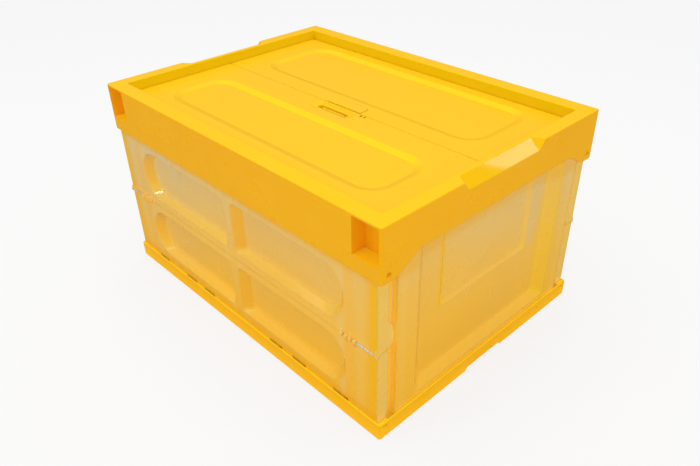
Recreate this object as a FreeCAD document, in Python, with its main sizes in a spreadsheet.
import FreeCAD, Part
import Sketcher
import os

# Folding lidded crate: moulded top frame with two hinged lid leaves, moulded
# base, two long sides each made of an upper and a lower half panel that fold
# inwards, two end panels that hang from the top frame and swing inwards and up,
# and steel rods in every hinge of the long sides.
# X runs along the crate, Y across it, Z up. The front is -Y, the right is +X.
# The origin is the centre of the underside. Millimetres.

Vector = FreeCAD.Vector
doc = FreeCAD.newDocument("folding_crate")

# ---------------------------------------------------------------- dimensions
# alias, value, note
SIZES = [
    ("len_half", 265.0, "half length over the top frame"),
    ("wid_half", 192.5, "half width over the top frame"),
    ("rim_top", 285.0, "top of the rim above the underside"),
    ("skirt_low", 219.4, "bottom of the skirt and of the corner legs"),
    ("skirt_mid", 238.0, "bottom of the skirt in the middle of the short sides"),
    ("skin", 2.7, "wall of the frame"),
    ("lip_inx", 245.5, "inner edge of the rim on the short sides"),
    ("lip_iny", 171.0, "inner edge of the rim on the long sides"),
    ("lip_thick", 2.8, "thickness of the rim's top plate"),
    ("well_low", 262.0, "bottom of the wall around the lid well"),
    ("lid_top", 271.0, "top of the closed lids"),
    ("lid_low", 262.0, "underside of the closed lids"),
    ("lid_skin", 2.5, "wall of a lid"),
    ("lid_endx", 244.9, "half length of a lid"),
    ("lid_back", 170.5, "hinge edge of a lid"),
    ("lid_seam", 0.4, "half gap between the two lids"),
    ("lid_axy", 161.0, "lid hinge axis, across"),
    ("lid_axz", 266.0, "lid hinge axis, height"),
    ("lid_pin", 2.5, "radius of a lid pin"),
    ("pocket_in", 225.0, "inner end of the handling pockets"),
    ("pocket_out", 261.5, "outer end of the handling pockets"),
    ("pocket_low", 237.8, "floor of the handling pockets"),
    ("pocket_back", 173.7, "back wall of the handling pockets"),
    ("leg_in", 171.0, "inner side of a corner leg"),
    ("leg_face", 258.6, "inner face of the leg's bearing block"),
    ("arch_half", 136.0, "half width of the raised part of the short skirt"),
    ("notch_low", 273.5, "floor of the notch in the short rims"),
    ("notch_half", 63.7, "half width of the notch at its floor"),
    ("notch_wide", 73.5, "half width of the notch at the rim"),
    ("notch_in", 251.5, "inner side of the notch"),
    ("axis_y", 182.0, "upper and lower hinge rods of the long sides, across"),
    ("axis_top", 227.5, "upper hinge rod, height"),
    ("axis_low", 15.5, "lower hinge rod, height"),
    ("axis_mid", 121.5, "fold line of the long sides, height"),
    ("rod_rad", 2.0, "radius of the steel rods"),
    ("rod_fit", 2.05, "radius of the bores the rods run in"),
    ("rod_half", 260.0, "half length of the long rods"),
    ("pin_rad", 1.2, "radius of the short steel pins of the fold line"),
    ("pin_fit", 1.25, "radius of the bores of those pins"),
    ("barrel", 7.5, "radius of the panel's rounded hinge edge"),
    ("knuckle", 3.2, "radius of the knuckles on the fold line"),
    ("side_out", 189.5, "outer face of the long panels"),
    ("side_skin", 2.5, "wall of the long panels"),
    ("side_halfx", 258.0, "half length of the long panels"),
    ("post_in", 173.0, "inner edge of the end posts of the long panels"),
    ("post_rib", 245.5, "inner rib of an end post"),
    ("lug_in", 164.6, "tip of the lug that stops the end panel"),
    ("lug_face", 254.3, "inner face of the lug"),
    ("dish_deep", 10.0, "depth of the dished windows"),
    ("dish_mid", 7.0, "half width of the rib between two windows"),
    ("dish_end", 208.0, "outer end of the windows"),
    ("dish_uplo", 133.5, "upper window, lower edge"),
    ("dish_uphi", 205.5, "upper window, upper edge"),
    ("dish_lolo", 38.0, "lower window, lower edge"),
    ("dish_lohi", 110.0, "lower window, upper edge"),
    ("dish_rad", 34.0, "large corner radius of a window"),
    ("dish_rib", 8.0, "small corner radius of a window"),
    ("dish_slx", 13.0, "slope of a window's ends"),
    ("dish_slz", 5.0, "slope of a window's long edges"),
    ("base_halfx", 264.2, "half length of the base"),
    ("base_halfy", 191.7, "half width of the base"),
    ("base_rim", 22.0, "height of the base rim"),
    ("base_skin", 1.9, "wall of the base rim"),
    ("floor_low", 3.0, "underside of the floor"),
    ("floor_top", 5.5, "top of the floor"),
    ("end_out", 261.5, "outer face of an end panel"),
    ("end_skin", 2.5, "wall of an end panel"),
    ("end_side", 164.2, "half width of an end panel's outer face"),
    ("end_edge", 170.3, "half width over the end panel's side strips"),
    ("end_strip", 254.0, "outer face of the side strips"),
    ("end_low", 8.0, "bottom of an end panel"),
    ("end_high", 244.0, "top of an end panel's shell"),
    ("end_axx", 252.0, "end panel hinge axis, along"),
    ("end_axz", 252.0, "end panel hinge axis, height"),
    ("end_pin", 3.0, "radius of an end panel's pin"),
    ("end_bar", 3.5, "radius of an end panel's hinge bar"),
    ("end_floor", 252.0, "outer face of the end panel's recessed field"),
    ("ear_gap", 8.2, "radius cleared in a panel around a hinge ear"),
]
sheet = doc.addObject("Spreadsheet::Sheet", "sizes")
for row, (alias, value, note) in enumerate(SIZES, 1):
    sheet.set("A%d" % row, alias)
    sheet.set("B%d" % row, repr(value))
    sheet.set("C%d" % row, note)
    sheet.setAlias("B%d" % row, alias)
doc.recompute()


class Quantity:
    """A size that carries its number and the sheet expression behind it."""

    def __init__(self, value, text):
        self.value = float(value)
        self.text = text

    @staticmethod
    def of(number):
        if isinstance(number, Quantity):
            return number
        return Quantity(number, "(%s)" % repr(float(number)))

    def __add__(self, other):
        other = Quantity.of(other)
        return Quantity(self.value + other.value, "(%s + %s)" % (self.text, other.text))

    __radd__ = __add__

    def __sub__(self, other):
        other = Quantity.of(other)
        return Quantity(self.value - other.value, "(%s - %s)" % (self.text, other.text))

    def __rsub__(self, other):
        return Quantity.of(other) - self

    def __mul__(self, other):
        other = Quantity.of(other)
        return Quantity(self.value * other.value, "(%s * %s)" % (self.text, other.text))

    __rmul__ = __mul__

    def __neg__(self):
        return Quantity(-self.value, "(0 - %s)" % self.text)


class Sizes:
    """The sheet's dimensions, one attribute for each alias."""


size = Sizes()
for alias, value, note in SIZES:
    setattr(size, alias, Quantity(sheet.get(alias), "sizes." + alias))

# Values shared by several pieces
FRAME_EARS = (40.0, 105.0, 170.0)   # centres of the frame's hinge ears along X, each way
BASE_EARS = (76.0, 122.0, 198.0)    # the same on the base
END_PLAY = 0.4                      # gap between the end of a rod and of its bore
SOCKET_PLAY = 0.08                  # radial gap around the moulded pins
PIN_START = 204.4                   # inner end of the short fold line pins
PIN_END = size.side_halfx - 2.0     # outer end of those pins
OVERLAP = 0.01                      # step that keeps loft ends off a face

# ---------------------------------------------------------------- helpers
PLANES = {
    "XY": FreeCAD.Rotation(0, 0, 0, 1),
    "XZ": FreeCAD.Rotation(Vector(1, 0, 0), 90),
    "YZ": FreeCAD.Rotation(0.5, 0.5, 0.5, 0.5),
}
ALONG = {
    "X": FreeCAD.Rotation(Vector(0, 1, 0), 90),
    "Y": FreeCAD.Rotation(Vector(1, 0, 0), -90),
}
QUARTER = 1.5707963267948966  # quarter turn, radians


def both(half):
    """Range that reaches equally far to both sides of zero."""
    return -half, half


def span(side, near, far):
    """Range from near to far on the positive side, or its mirror image if side is -1."""
    return (near, far) if side > 0 else (-far, -near)


def symmetric(right):
    """Closed outline from its right half; the first point is mirrored to the start."""
    left = [(-a, b) for a, b in right]
    return [left[0]] + right + left[:0:-1]


def add(kind, name):
    return doc.addObject(kind, "%s_%03d" % (name, len(doc.Objects)))


def bind(obj, prop, quantity):
    obj.setExpression(prop, Quantity.of(quantity).text)


def place(obj, rotation, *point):
    x, y, z = [Quantity.of(c) for c in point]
    obj.Placement = FreeCAD.Placement(Vector(x.value, y.value, z.value), rotation)
    bind(obj, "Placement.Base.x", x)
    bind(obj, "Placement.Base.y", y)
    bind(obj, "Placement.Base.z", z)


def box(name, x0, x1, y0, y1, z0, z1):
    obj = add("Part::Box", name)
    bind(obj, "Length", Quantity.of(x1) - x0)
    bind(obj, "Width", Quantity.of(y1) - y0)
    bind(obj, "Height", Quantity.of(z1) - z0)
    place(obj, PLANES["XY"], x0, y0, z0)
    return obj


def boxes(side_x, side_y, rows):
    """Boxes from rows of name, x, x, y, y, z, z, mirrored in X and Y by the two signs."""
    return [
        box(name, *span(side_x, x0, x1), *span(side_y, y0, y1), z0, z1)
        for name, x0, x1, y0, y1, z0, z1 in rows
    ]


def cylinder(name, axis, ends, across, height, radius):
    """Level cylinder along X or Y; across is its place on the other level axis."""
    start, end = ends
    obj = add("Part::Cylinder", name)
    bind(obj, "Radius", radius)
    bind(obj, "Height", Quantity.of(end) - start)
    level = (start, across) if axis == "X" else (across, start)
    place(obj, ALONG[axis], *level, height)
    return obj


def fuse(parts, name):
    obj = add("Part::MultiFuse", name)
    obj.Shapes = parts
    obj.Refine = True
    return obj


def cut(base, tools, name):
    tool = tools[0] if len(tools) == 1 else fuse(tools, "tools")
    obj = add("Part::Cut", name)
    obj.Base = base
    obj.Tool = tool
    obj.Refine = True
    return obj


def mirror(source, normal):
    obj = add("Part::Mirroring", "mirror")
    obj.Source = source
    obj.Base = Vector(0, 0, 0)
    obj.Normal = Vector(*normal)
    return obj


def fillet(source, radius, pick, name):
    """Round the edges whose bounding box the pick function accepts."""
    doc.recompute()
    obj = add("Part::Fillet", name)
    obj.Base = source
    edges = [
        (i, radius, radius)
        for i, edge in enumerate(source.Shape.Edges, 1)
        if pick(edge.BoundBox)
    ]
    if not edges:
        raise RuntimeError("no edges picked for " + obj.Name)
    obj.Edges = edges
    return obj


def flat(low, high, at):
    """True if a range has shrunk to the one value given."""
    return abs(low - at.value) < 0.05 and abs(high - at.value) < 0.05


def sketch(plane, offset, name):
    obj = add("Sketcher::SketchObject", name)
    origin = {"XY": (0, 0, offset), "XZ": (0, offset, 0), "YZ": (offset, 0, 0)}[plane]
    place(obj, PLANES[plane], *origin)
    return obj


def relate(sk, *args):
    sk.addConstraint(Sketcher.Constraint(*args))


def dimension(sk, quantity, *args):
    """Constraint whose value follows the sheet."""
    i = sk.addConstraint(Sketcher.Constraint(*args, quantity.value))
    sk.setExpression("Constraints[%d]" % i, quantity.text)


def polygon(plane, offset, points, name):
    """Closed polygon; every corner is fixed by two dimensions from the origin."""
    sk = sketch(plane, offset, name)
    points = [(Quantity.of(a), Quantity.of(b)) for a, b in points]
    corners = [Vector(a.value, b.value, 0) for a, b in points]
    for start, end in zip(corners, corners[1:] + corners[:1]):
        sk.addGeometry(Part.LineSegment(start, end), False)
    for i in range(len(points)):
        relate(sk, "Coincident", i, 2, (i + 1) % len(points), 1)
    for i, (a, b) in enumerate(points):
        dimension(sk, a, "DistanceX", -1, 1, i, 1)
        dimension(sk, b, "DistanceY", -1, 1, i, 1)
    return sk


def rounded(plane, offset, a0, a1, b0, b1, radii, name):
    """Rectangle with its own radius at each corner, starting at (a0, b0), anticlockwise."""
    a0, a1, b0, b1 = [Quantity.of(c) for c in (a0, a1, b0, b1)]
    radii = [Quantity.of(r) for r in radii]
    sk = sketch(plane, offset, name)
    left, right, low, high = a0.value, a1.value, b0.value, b1.value
    r0, r1, r2, r3 = [r.value for r in radii]
    # each side in turn: start, end, then centre and radius of the corner after it
    sides = [
        ((left + r0, low), (right - r1, low), (right - r1, low + r1), r1),
        ((right, low + r1), (right, high - r2), (right - r2, high - r2), r2),
        ((right - r2, high), (left + r3, high), (left + r3, high - r3), r3),
        ((left, high - r3), (left, low + r0), (left + r0, low + r0), r0),
    ]
    for i, (start, end, centre, radius) in enumerate(sides):
        sk.addGeometry(Part.LineSegment(Vector(*start, 0), Vector(*end, 0)), False)
        circle = Part.Circle(Vector(*centre, 0), Vector(0, 0, 1), radius)
        turn = (i + 3) % 4
        arc = Part.ArcOfCircle(circle, turn * QUARTER, (turn + 1) * QUARTER)
        sk.addGeometry(arc, False)
    for i in range(8):
        relate(sk, "Tangent", i, 2, (i + 1) % 8, 1)
    for i, direction in enumerate(("Horizontal", "Vertical", "Horizontal", "Vertical")):
        relate(sk, direction, 2 * i)
    for i in range(4):
        dimension(sk, radii[(i + 1) % 4], "Radius", 2 * i + 1)
    dimension(sk, b0, "DistanceY", -1, 1, 0, 1)
    dimension(sk, a1, "DistanceX", -1, 1, 2, 1)
    dimension(sk, b1, "DistanceY", -1, 1, 4, 1)
    dimension(sk, a0, "DistanceX", -1, 1, 6, 1)
    return sk


def extrude(outline, direction, length, name):
    obj = add("Part::Extrusion", name)
    obj.Base = outline
    obj.DirMode = "Custom"
    obj.Dir = Vector(*direction)
    bind(obj, "LengthFwd", length)
    obj.Solid = True
    return obj


def slab(side, x_near, thick, points, line_name, name):
    """Plate across X with a Y-Z outline; x_near is its face nearer the middle."""
    start = span(side, x_near, x_near + thick)[0]
    return extrude(polygon("YZ", start, points, line_name), (1, 0, 0), thick, name)


def through(half_x, points, line_name, name):
    """Cutter with a Y-Z outline that runs past both ends of a piece."""
    return slab(1, -half_x - 5, 2 * half_x + 10, points, line_name, name)


def loft(start, end, name):
    obj = add("Part::Loft", name)
    obj.Sections = [start, end]
    obj.Solid = True
    obj.Ruled = True
    return obj


def rod_bore(side, height):
    """Long hinge bore in the frame or the base."""
    return cylinder("rod_bore", "X", both(size.rod_half + END_PLAY),
                    side * size.axis_y, height, size.rod_fit)


NODES = []


def node(obj, name):
    """Give a finished piece its label and list it for export."""
    obj.Label = name
    NODES.append((name, obj))


# ---------------------------------------------------------------- top frame
BELOW_FRAME = 200.0
ABOVE_FRAME = 300.0
# inner parts end inside the outer walls and the top plate
FRAME_ROOT_X = size.len_half - 1
FRAME_ROOT_Y = size.wid_half - 1
FRAME_ROOT_Z = size.rim_top - 1.5
WELL_OUT_X = size.lip_inx + size.skin   # outer face of the well's end walls
LEDGE_IN = 238.0                        # inner edge of the ledge under the lids
LEDGE_HALF = 148.0
LEDGE_LOW = size.lid_low - 2.6
POCKET_UNDER = size.pocket_low - 2.0    # underside of the pocket floor
FRAME_EAR_HALF = 2.0                    # half thickness of a hinge ear
FRAME_EAR_RAD = 6.5
FRAME_MOUTH = (4.9, 3.4)                # wider mouth of a rod bore: depth, radius
RIB_HALF = 1.0
LONG_RIBS = (8.0, 72.0, 138.0, 203.0)   # rib places along the long skirt
SHORT_RIBS = (100.0, 140.0)             # rib places along the short skirt


def make_rim():
    """Hollow rim and skirt, open in the middle."""
    half_x, half_y, top, wall = size.len_half, size.wid_half, size.rim_top, size.skin
    block = box("rim_block", *both(half_x), *both(half_y), size.skirt_low, top)
    opening = box("rim_open", *both(size.lip_inx), *both(size.lip_iny),
                  BELOW_FRAME, ABOVE_FRAME)
    ring = cut(block, [opening], "rim_ring")

    def outer_corner(b):
        at_corner = abs(b.XMax) > half_x.value - 1 and abs(b.YMax) > half_y.value - 1.5
        return b.ZLength > 50 and at_corner

    ring = fillet(ring, 3.0, outer_corner, "rim_corner")
    ring = fillet(ring, 1.3, lambda b: flat(b.ZMin, b.ZMax, top), "rim_edge")
    hollow = box("rim_hollow", *both(half_x - wall), *both(half_y - wall),
                 BELOW_FRAME, top - size.lip_thick)
    return cut(ring, [hollow], "rim_shell")


def frame_end_parts(side):
    """Well walls, lid ledge and notch pad; side mirrors the long well wall in Y too."""
    return boxes(side, side, [
        ("well_end", size.lip_inx, WELL_OUT_X, *both(size.lip_iny),
         size.well_low, FRAME_ROOT_Z),
        ("well_side", *both(size.len_half - size.skin), size.lip_iny, size.pocket_back,
         size.well_low, FRAME_ROOT_Z),
        ("ledge", LEDGE_IN, WELL_OUT_X, *both(LEDGE_HALF), LEDGE_LOW, size.lid_low - 0.1),
        ("ledge_root", size.lip_inx, WELL_OUT_X, *both(LEDGE_HALF),
         LEDGE_LOW, size.well_low + 1),
        # solid pad that the short rim's notch is cut into
        ("notch_pad", size.lip_inx + 1, FRAME_ROOT_X, *both(size.notch_wide + 3),
         size.notch_low - size.skin, FRAME_ROOT_Z),
    ])


def frame_corner_parts(side_x, side_y):
    """Handling pocket, leg block, hinge ears and ribs of one quarter of the frame."""
    pocket_x = size.pocket_in - size.skin
    back, top = size.pocket_back, FRAME_ROOT_Z
    parts = boxes(side_x, side_y, [
        ("pocket_floor", pocket_x, FRAME_ROOT_X, size.lip_iny, FRAME_ROOT_Y,
         POCKET_UNDER, size.pocket_low),
        ("pocket_side", pocket_x, size.pocket_in, size.lip_iny, FRAME_ROOT_Y,
         POCKET_UNDER, top),
        ("pocket_rear", pocket_x, FRAME_ROOT_X, size.lip_iny, back, POCKET_UNDER, top),
        ("pocket_cheek", size.pocket_out, FRAME_ROOT_X, size.lip_iny, FRAME_ROOT_Y,
         POCKET_UNDER, top),
        # bearing block in the corner leg
        ("leg_block", size.leg_face, FRAME_ROOT_X, size.leg_in, FRAME_ROOT_Y,
         size.skirt_low, size.pocket_low - 1.0),
    ])
    for centre in FRAME_EARS:
        ear = (centre - FRAME_EAR_HALF, centre + FRAME_EAR_HALF)
        parts += boxes(side_x, side_y, [
            ("ear_web", *ear, 175.2, FRAME_ROOT_Y, size.axis_top, top)])
        parts.append(cylinder("ear_eye", "X", span(side_x, *ear), side_y * size.axis_y,
                              size.axis_top, FRAME_EAR_RAD))
        parts += boxes(side_x, side_y, [("ear_foot", *ear, back - 1.0, 176.0, 250, top)])
    parts += boxes(side_x, side_y, [
        ("side_rib", x - RIB_HALF, x + RIB_HALF, back - 1.0, FRAME_ROOT_Y, 246, top)
        for x in LONG_RIBS])
    parts += boxes(side_x, side_y, [
        ("end_rib", size.lip_inx + 1.0, FRAME_ROOT_X, y - RIB_HALF, y + RIB_HALF, 262, top)
        for y in SHORT_RIBS])
    return parts


def frame_corner_cuts(side_x, side_y):
    """Pocket opening, rod mouth and pin sockets of one quarter of the frame."""
    depth, radius = FRAME_MOUTH
    return [
        box("pocket", *span(side_x, size.pocket_in, size.pocket_out),
            *span(side_y, size.pocket_back, size.wid_half + 2),
            size.pocket_low, size.rim_top - size.lip_thick),
        cylinder("rod_mouth", "X", span(side_x, size.len_half - depth, size.len_half + 2),
                 side_y * size.axis_y, size.axis_top, radius),
        # end panel pin
        cylinder("pin_socket", "Y", span(side_y, size.lip_iny - 1, size.pocket_back + 1),
                 side_x * size.end_axx, size.end_axz, size.end_pin + SOCKET_PLAY),
        cylinder("lid_socket", "X", span(side_x, size.lip_inx - 1, WELL_OUT_X + 1),
                 side_y * size.lid_axy, size.lid_axz, size.lid_pin + SOCKET_PLAY),
    ]


def notch(side):
    """Notch in the short rim; its floor falls from the inner edge to the outer face."""
    top = size.rim_top
    fall = (top - size.notch_low) * 1.222

    def section(x, floor_half, floor_z, mouth_half, name):
        right = [(floor_half, floor_z), (mouth_half, top + 0.4), (mouth_half, top + 5)]
        return polygon("YZ", side * x, symmetric(right), name)

    inner = section(size.notch_in - 0.3, size.notch_half + 0.2, top + 0.2,
                    size.notch_half + 0.4, "notch_inner")
    outer = section(size.len_half + 3, size.notch_half - 0.1, top - fall,
                    size.notch_wide + 2.1, "notch_outer")
    return loft(inner, outer, "notch")


def make_top_frame():
    parts = [make_rim()]
    for side_x in (1, -1):
        parts += frame_end_parts(side_x)
        for side_y in (1, -1):
            parts += frame_corner_parts(side_x, side_y)
    body = fuse(parts, "frame_full")

    cuts = []
    for side_x in (1, -1):
        for side_y in (1, -1):
            cuts += frame_corner_cuts(side_x, side_y)
        cuts.append(notch(side_x))
    for side_y in (1, -1):
        cuts.append(rod_bore(side_y, size.axis_top))
    # raised lower edge of the short skirts
    arch = symmetric([
        (size.leg_in - 1, size.skirt_low - 3),
        (size.leg_in - 1, size.skirt_low + 0.01),
        (size.arch_half + 8, size.skirt_mid - 3.2),
        (size.arch_half + 3, size.skirt_mid - 0.8),
        (size.arch_half - 3, size.skirt_mid + 0.01),
    ])
    cuts.append(through(size.len_half, arch, "arch_line", "arch"))
    return cut(body, cuts, "top_frame_body")


node(make_top_frame(), "top_frame")

# ---------------------------------------------------------------- base
BASE_RIB_LOW = 0.6          # lower edge of the ribs under the floor
BASE_PITCH_X = 56.0         # pitch of the ribs that run across
BASE_PITCH_Y = 50.0         # pitch of the ribs that run along
BASE_EAR_HALF = 3.0
BASE_EAR_RAD = 6.3
BASE_MOUTH = (4.1, 2.9)     # wider mouth of a rod bore: depth, radius
# stepped notch in the lower edge of the short sides, right half: y, z
FOOT_NOTCH = [(39, -3), (33, 4.2), (20.5, 4.2), (16.5, 10.5)]


def base_corner_parts(side_x, side_y):
    """Bearing block for the rod end and hinge ears of one quarter of the base."""
    root = size.floor_top - 1
    parts = boxes(side_x, side_y, [
        ("corner_block", size.leg_face, size.base_halfx - 0.5,
         176.0, size.base_halfy - 0.5, root, size.base_rim - 0.9)])
    for centre in BASE_EARS:
        ear = (centre - BASE_EAR_HALF, centre + BASE_EAR_HALF)
        parts += boxes(side_x, side_y, [
            ("ear_foot", *ear, size.axis_y - BASE_EAR_RAD, size.axis_y + BASE_EAR_RAD,
             root, size.axis_low)])
        parts.append(cylinder("ear_eye", "X", span(side_x, *ear), side_y * size.axis_y,
                              size.axis_low, BASE_EAR_RAD))
    return parts


def make_base():
    half_x, half_y, top = size.base_halfx, size.base_halfy, size.base_rim
    wall = size.base_skin
    block = box("base_block", *both(half_x), *both(half_y), 0, top)
    block = fillet(block, 3.0, lambda b: b.ZLength > 10, "base_corner")
    block = fillet(block, 0.9, lambda b: flat(b.ZMin, b.ZMax, top), "base_edge")
    tray = box("tray", *both(half_x - wall), *both(half_y - wall), size.floor_top, 40)
    under = box("under", *both(half_x - 3), *both(half_y - 3), -5, size.floor_low)
    parts = [cut(block, [tray, under], "base_shell")]

    rib_z = (BASE_RIB_LOW, size.floor_low + 0.5)
    for i in range(-4, 5):
        x = i * BASE_PITCH_X
        parts.append(box("under_rib", x - RIB_HALF, x + RIB_HALF, *both(half_y - 1), *rib_z))
    for i in range(-3, 4):
        y = i * BASE_PITCH_Y
        parts.append(box("under_rib", *both(half_x - 1), y - RIB_HALF, y + RIB_HALF, *rib_z))
    for side_x in (1, -1):
        for side_y in (1, -1):
            parts += base_corner_parts(side_x, side_y)
    body = fuse(parts, "base_full")

    cuts = []
    depth, radius = BASE_MOUTH
    for side_y in (1, -1):
        cuts.append(rod_bore(side_y, size.axis_low))
        for side_x in (1, -1):
            cuts.append(cylinder("rod_mouth", "X", span(side_x, half_x - depth, half_x + 2),
                                 side_y * size.axis_y, size.axis_low, radius))
    # the stepped notch goes only through the two short walls
    foot = through(half_x, symmetric(FOOT_NOTCH), "foot_line", "foot_notch")
    notch_end = half_x - wall - 0.6
    keep = box("foot_keep", *both(notch_end), *both(60), -5, 30)
    cuts.append(cut(foot, [keep], "foot_ends"))
    parts = [cut(body, cuts, "base_cut")]
    # closing walls behind the stepped notches
    for side in (1, -1):
        parts += boxes(side, 1, [
            ("foot_wall", notch_end - 2.0, notch_end, *both(44), BASE_RIB_LOW, 12.5)])
    return fuse(parts, "base_body")


node(make_base(), "base")

# ---------------------------------------------------------------- long panels
# Modelled at the front, so the outer face looks towards -Y; the fold line
# runs in the plane of the outer face.
SIDE_FACE = -size.side_out
SIDE_ROOT = SIDE_FACE + 1       # inner parts start inside the plate
FOLD_GAP = 0.2                  # from the fold line to each half panel
BAND_THICK = 1.8
KNUCKLE_END_PLAY = 0.45
# knuckles on the right half of the fold line: inner end, outer end
UPPER_KNUCKLES = [(size.side_halfx - 3.2, size.side_halfx), (215.5, 219.5), (202.0, 206.0)]
LOWER_KNUCKLES = [(222.5, 226.5), (209.5, 213.0)]
# room for an ear in the panel: half length, radius
UPPER_EAR_ROOM = (3.2, size.ear_gap)
LOWER_EAR_ROOM = (13.0, size.ear_gap + 3.4)


def window(side, edges, grow, mouth_y, floor_y, name):
    """Tapered body of a dished window, grown outwards by a wall."""
    low, high = edges

    def section(y, slope_x, slope_z, small, part):
        big = size.dish_rad + grow - slope_z
        ends = span(side, size.dish_mid + slope_x - grow, size.dish_end - slope_x + grow)
        radii = (small, big, big, small) if side > 0 else (big, small, small, big)
        return rounded("XZ", y, *ends, low + slope_z - grow, high - slope_z + grow,
                       radii, name + part)

    small = size.dish_rib + grow
    mouth = section(mouth_y, 0, 0, small, "_mouth")
    floor = section(floor_y, size.dish_slx, size.dish_slz, small - 2.0, "_floor")
    return loft(mouth, floor, name)


def post_outline(upper):
    """Y-Z outline of the two ribs of an end post."""
    post, hinge, fold = -size.post_in, -size.axis_y, size.axis_mid
    if upper:
        axis, fold_z = size.axis_top, fold + FOLD_GAP + 0.01
        return [
            (SIDE_ROOT, fold_z), (post - 4, fold_z), (post, fold + 6),
            (post, axis - 15.5), (hinge + 7, axis - 5), (hinge + 6.5, axis - 1),
            (SIDE_ROOT, axis - 1),
        ]
    axis = size.axis_low
    return [
        (SIDE_ROOT, axis + 1), (hinge + 6.5, axis + 1), (hinge + 7, axis + 5),
        (post, axis + 15.5), (post, fold - 1.5), (SIDE_ROOT, fold - FOLD_GAP),
    ]


def side_end_parts(side, upper, band_z):
    """End post, inner band and, on the upper half, the lug at one end of a panel."""
    wall, half_x, fold = size.side_skin, size.side_halfx, size.axis_mid
    parts = [
        slab(side, end - wall, wall, post_outline(upper), "post_line", "post")
        for end in (half_x, size.post_rib)
    ]
    low, high = band_z
    band = [(SIDE_ROOT, low), (-size.axis_y, low), (-size.axis_y, high), (SIDE_ROOT, high)]
    parts.append(slab(side, size.post_rib - 24, BAND_THICK, band, "band_line", "band"))
    if upper:
        # the end panel rests against the lug's inner face
        root, tip = -size.post_in - 2, -size.lug_in
        lug = [
            (root, fold + 3.5), (tip - 4.5, fold + 4.5), (tip, fold + 9), (tip, fold + 20),
            (tip - 1.6, fold + 30), (tip - 6, fold + 37), (root, fold + 40),
        ]
        parts.append(slab(side, size.lug_face, half_x - size.lug_face, lug,
                          "lug_line", "lug"))
    return parts


def fold_knuckles(upper):
    """Knuckles of one half panel, each with a web and a tapered tail."""
    fold = size.axis_mid
    tip_y, root_y = SIDE_FACE - 3.1, SIDE_FACE + 0.5
    if upper:
        places = UPPER_KNUCKLES
        web_z = (fold, fold + 5.5)
        tail = [(tip_y, fold + 0.4), (root_y, fold + 0.01), (root_y, fold + 9)]
    else:
        places = LOWER_KNUCKLES
        web_z = (fold - 5.5, fold)
        tail = [(tip_y, fold - 0.4), (root_y, fold - 8), (root_y, fold - 0.01)]
    parts = []
    for near, far in places:
        for side in (1, -1):
            ends = span(side, near, far)
            parts.append(cylinder("knuckle", "X", ends, SIDE_FACE, fold, size.knuckle))
            parts.append(box("knuckle_web", *ends, SIDE_FACE - 0.6, SIDE_FACE + 3.0, *web_z))
            parts.append(slab(side, near, far - near, tail, "knuckle_tail", "tail"))
    return parts


def make_side(upper):
    """Half panel of the front long side, in its place."""
    half_x, wall, fold = size.side_halfx, size.side_skin, size.axis_mid
    if upper:
        axis = size.axis_top
        low, high = fold + FOLD_GAP, axis
        flange_z = (low, low + wall)
        band_z = (low, axis - 4)
        edges = (size.dish_uplo, size.dish_uphi)
        other_knuckles = LOWER_KNUCKLES
        ears, (ear_half, ear_radius) = FRAME_EARS, UPPER_EAR_ROOM
    else:
        axis = size.axis_low
        low, high = axis, fold - FOLD_GAP
        flange_z = (high - wall, high)
        band_z = (axis + 4, high)
        edges = (size.dish_lolo, size.dish_lohi)
        other_knuckles = UPPER_KNUCKLES
        ears, (ear_half, ear_radius) = BASE_EARS, LOWER_EAR_ROOM
    dish_y = SIDE_FACE + size.dish_deep

    parts = [
        box("side_plate", *both(half_x), SIDE_FACE, SIDE_FACE + wall, low, high),
        # rounded hinge edge, a thick bar around the rod
        cylinder("hinge_bar", "X", both(half_x), -size.axis_y, axis, size.barrel),
    ]
    for side in (1, -1):
        parts.append(window(side, edges, wall, SIDE_FACE + OVERLAP, dish_y + wall,
                            "window_wall"))
    parts.append(box("fold_flange", *both(half_x), SIDE_ROOT, -176.0, *flange_z))
    for side in (1, -1):
        parts += side_end_parts(side, upper, band_z)
    body = fuse(parts, "side_full")

    cuts = []
    for side in (1, -1):
        cuts.append(window(side, edges, 0, SIDE_FACE - OVERLAP, dish_y, "window"))
    # room for the fold line's pins and for the other half's knuckles
    for side in (1, -1):
        cuts.append(cylinder("pin_room", "X", span(side, 201.5, half_x + 1),
                             SIDE_FACE, fold, size.pin_rad + 0.3))
        for near, far in other_knuckles:
            ends = span(side, near - KNUCKLE_END_PLAY, far + KNUCKLE_END_PLAY)
            cuts.append(cylinder("fold_room", "X", ends, SIDE_FACE, fold,
                                 size.knuckle + 0.6))
    # room for the ears of the frame or of the base
    for side in (1, -1):
        for centre in ears:
            ends = span(side, centre - ear_half, centre + ear_half)
            cuts.append(cylinder("ear_room", "X", ends, -size.axis_y, axis, ear_radius))
    body = cut(body, cuts, "side_open")
    body = fuse([body] + fold_knuckles(upper), "side_knuckled")

    holes = [cylinder("rod_bore", "X", both(half_x + 1), -size.axis_y, axis, size.rod_fit)]
    for side in (1, -1):
        ends = span(side, PIN_START - END_PLAY, PIN_END + END_PLAY)
        holes.append(cylinder("fold_bore", "X", ends, SIDE_FACE, fold, size.pin_fit))
    return cut(body, holes, "side_body")


upper_panel = make_side(True)
lower_panel = make_side(False)
node(upper_panel, "upper_front_panel")
node(lower_panel, "lower_front_panel")
node(mirror(upper_panel, (0, 1, 0)), "upper_rear_panel")
node(mirror(lower_panel, (0, 1, 0)), "lower_rear_panel")

# ---------------------------------------------------------------- end panels
# recess outlines: half width, lower edge, upper edge, corner radius
FIELD_MOUTH = (132, 30, 236, 7)
FIELD_FLOOR = (117, 40, 230, 5)
PLAQUE_MOUTH = (84, 125, 226, 6)
PLAQUE_FLOOR = (79, 127.4, 223, 4)
PLAQUE_DEEP = 2.8               # depth of the inner recess below the field


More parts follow.
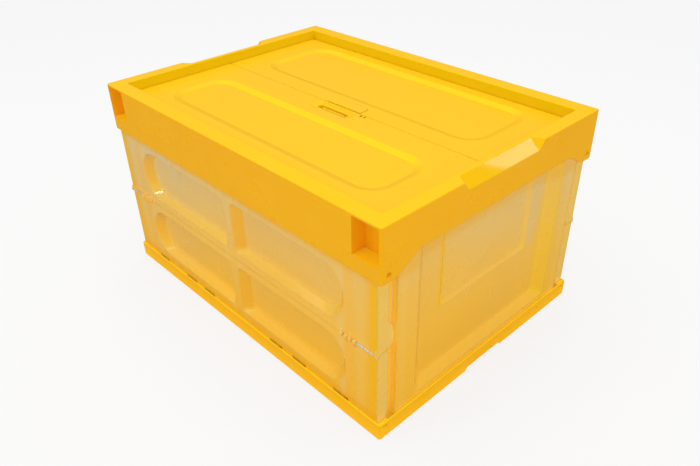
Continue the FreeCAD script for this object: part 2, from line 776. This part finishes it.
def end_recess(prefix, mouth, floor, mouth_x, floor_x, grow, name):
    """Recess with sloped sides, grown outwards by a wall."""
    def section(x, outline, part):
        half, low, high, radius = outline
        return rounded("YZ", x, *both(half + grow), low - grow, high + grow,
                       (radius + grow,) * 4, prefix + part)

    return loft(section(mouth_x, mouth, "_mouth"), section(floor_x, floor, "_floor"), name)


def make_end():
    """End panel on the +X side, in its place."""
    out, wall, strip = size.end_out, size.end_skin, size.end_strip
    edge, face_half, low, high = size.end_edge, size.end_side, size.end_low, size.end_high
    field_x = size.end_floor
    plaque_x = field_x - PLAQUE_DEEP
    face_low = low + 11         # bottom of the outer face
    parts = [box("end_face", out - wall, out, *both(face_half), face_low, high)]
    for side in (1, -1):
        parts += boxes(1, side, [
            ("end_step", strip - wall, out, face_half - wall, face_half, face_low, high),
            ("end_strip", strip - wall, strip, face_half - wall, edge,
             low, size.end_axz - 2),
            ("end_flange", strip - 7, strip, edge - wall, edge, low, high - 8),
            # stiffening rib behind the border
            ("border_rib", field_x - wall, out - 1, 144, 146, 34, high),
        ])
        parts.append(cylinder("end_pin", "Y", span(side, edge - 1, size.lip_iny + 2.3),
                              size.end_axx, size.end_axz, size.end_pin))
    parts += [
        # top closure, web and hinge bar
        box("end_top", field_x - wall, out, *both(face_half), high - wall, high),
        box("end_web", strip - wall - 0.6, strip - 0.6, *both(edge),
            high - wall, size.end_axz),
        cylinder("end_bar", "Y", both(edge), size.end_axx, size.end_axz, size.end_bar),
        # the face returns inwards and the panel ends in a straight skirt
        box("end_foot", field_x - wall, out, *both(face_half), face_low, face_low + wall),
        box("end_skirt", strip - wall, strip, *both(edge), low, face_low + wall),
        # walls of the recessed field and of the shallower plaque inside it
        end_recess("field", FIELD_MOUTH, FIELD_FLOOR,
                   out - OVERLAP, field_x - wall, wall, "field_wall"),
        end_recess("plaque", PLAQUE_MOUTH, PLAQUE_FLOOR,
                   field_x - 0.5, plaque_x - wall, wall, "plaque_wall"),
    ]
    body = fuse(parts, "end_full")
    cuts = [
        end_recess("field", FIELD_MOUTH, FIELD_FLOOR, out + OVERLAP, field_x, 0, "field"),
        end_recess("plaque", PLAQUE_MOUTH, PLAQUE_FLOOR,
                   field_x + OVERLAP, plaque_x, 0, "plaque"),
    ]
    return cut(body, cuts, "end_body")


end_panel = make_end()
node(end_panel, "end_panel_right")
node(mirror(end_panel, (1, 0, 0)), "end_panel_left")

# ---------------------------------------------------------------- lids
# Both lids are modelled on the -Y side; the rear one is mirrored afterwards.
LID_RIM = 2.2                       # wall around the edge of a lid
LID_DISH_HALF = 202.0               # half length of the dished field
LID_DISH_RAD = 34.0
LID_DISH_SLOPE = 10.0               # how far the dish narrows to its floor
LID_DISH_DEEP = 2.6
FRONT_DISH_Y = (-141.0, -42.0)
REAR_DISH_Y = (-151.0, -27.0)
CROSS_RIBS = (-150.0, -75.0, 0.0, 75.0, 150.0)
LONG_LID_RIBS = (-60.0, -115.0)


def lid_dish(dish_y, mouth_z, floor_z, grow, name):
    """Dished field of a lid, grown outwards by a wall."""
    y0, y1 = dish_y

    def section(z, slope, part):
        return rounded("XY", z, *both(LID_DISH_HALF - slope + grow),
                       y0 + slope - grow, y1 - slope + grow,
                       (LID_DISH_RAD - slope + grow,) * 4, part)

    mouth = section(mouth_z, 0.0, "dish_mouth")
    floor = section(floor_z, LID_DISH_SLOPE, "dish_floor")
    return loft(mouth, floor, name)


def slot_cuts():
    """Scoop with a slot ring sunk into it, and two small recesses beside it."""
    top = size.lid_top
    mouth = rounded("XY", top + OVERLAP, -30, 40, -26, -3.5, (5, 5, 1.5, 1.5), "scoop_mouth")
    floor = rounded("XY", top - 2.4, -25, 34, -22.5, -4.5, (3, 3, 1.2, 1.2), "scoop_floor")
    scoop = loft(mouth, floor, "scoop")
    line = rounded("XY", top - 6.0, -22, 30, -18.5, -9.5, (1.5,) * 4, "slot_line")
    slot = extrude(line, (0, 0, 1), 8, "slot")
    bar = box("slot_bar", -15.5, 26.5, -15.8, -12.6, top - 7, top - 3.4)
    ring = cut(slot, [bar], "slot_ring")
    recesses = boxes(1, 1, [
        ("nib_room", 44.8, 48.0, -6.5, -1.8, top - 3.6, top + 2),
        ("nib_room", 51.4, 54.0, -5.6, -1.8, top - 3.6, top + 2),
    ])
    return [scoop, ring] + recesses


def make_lid(front):
    half_x, wall, top, low = size.lid_endx, size.lid_skin, size.lid_top, size.lid_low
    back, seam = -size.lid_back, -size.lid_seam
    dish_y = FRONT_DISH_Y if front else REAR_DISH_Y
    block = box("lid_block", *both(half_x), back, seam, low, top)

    def heel(b):
        on_edge = flat(b.YMin, b.YMax, back) and flat(b.ZMin, b.ZMax, top)
        return b.XLength > 100 and on_edge

    def top_edge(b):
        at_end_or_seam = b.XLength < 1 or abs(b.YMax - seam.value) < 0.1
        return flat(b.ZMin, b.ZMax, top) and at_end_or_seam

    block = fillet(block, 3.0, heel, "lid_heel")
    block = fillet(block, 0.6, top_edge, "lid_edge")
    hollow = box("lid_hollow", *both(half_x - LID_RIM), back + LID_RIM, seam - LID_RIM,
                 low - 2, top - wall)
    parts = [
        cut(block, [hollow], "lid_shell"),
        lid_dish(dish_y, top - 0.5, top - LID_DISH_DEEP - wall, LID_RIM, "lid_dish_wall"),
    ]
    # underside ribs
    under_top = top - wall + 0.3
    rib_z = (low + 0.4, under_top)
    for x in CROSS_RIBS:
        parts.append(box("lid_rib", x - RIB_HALF, x + RIB_HALF, back + 1, seam - 1, *rib_z))
    for y in LONG_LID_RIBS:
        parts.append(box("lid_rib", *both(half_x - 1), y - RIB_HALF, y + RIB_HALF, *rib_z))
    for side in (1, -1):
        parts.append(cylinder("lid_pin", "X", span(side, half_x - 1, size.lip_inx + 2.4),
                              -size.lid_axy, size.lid_axz, size.lid_pin))
        parts.append(cylinder("pin_boss", "X", span(side, half_x - 4.5, half_x),
                              -size.lid_axy, size.lid_axz, 4.0))
    if front:
        # block that the finger slot is sunk into
        parts.append(box("slot_block", -34, 44, -30, seam - 1, low + 0.2, under_top))
    else:
        # raised thumb tab on the seam edge
        tab = rounded("XY", top - 1.0, -22, 40, -18, seam - 0.1, (7, 7, 1.2, 1.2), "tab_line")
        parts.append(extrude(tab, (0, 0, 1), 1.9, "tab"))
    body = fuse(parts, "lid_full")
    cuts = [lid_dish(dish_y, top + OVERLAP, top - LID_DISH_DEEP, 0.0, "lid_dish")]
    if front:
        cuts += slot_cuts()
    return cut(body, cuts, "lid_body")


node(make_lid(True), "lid_front")
node(mirror(make_lid(False), (0, 1, 0)), "lid_rear")

# ---------------------------------------------------------------- steel rods
for place_name, side_y in (("front", -1), ("rear", 1)):
    for level, z in (("top", size.axis_top), ("base", size.axis_low)):
        rod = cylinder("rod", "X", both(size.rod_half), side_y * size.axis_y, z, size.rod_rad)
        node(rod, "rod_%s_%s" % (level, place_name))
    for end_name, side_x in (("right", 1), ("left", -1)):
        pin = cylinder("pin", "X", span(side_x, PIN_START, PIN_END),
                       side_y * size.side_out, size.axis_mid, size.pin_rad)
        node(pin, "rod_fold_%s_%s" % (place_name, end_name))

# ---------------------------------------------------------------- export
doc.recompute()
bad = [o.Name for o in doc.Objects if any(k in o.State for k in ("Invalid", "Error"))]
if bad:
    raise RuntimeError("failed objects: " + ", ".join(bad))
os.makedirs("parts", exist_ok=True)
for name, obj in NODES:
    shape = obj.Shape
    if shape.isNull() or not shape.isValid():
        raise RuntimeError("bad shape: " + name)
    if len(shape.Solids) != 1:
        raise RuntimeError("%s has %d solids" % (name, len(shape.Solids)))
for name, obj in NODES:
    obj.Shape.exportStep("parts/%s.step" % name)
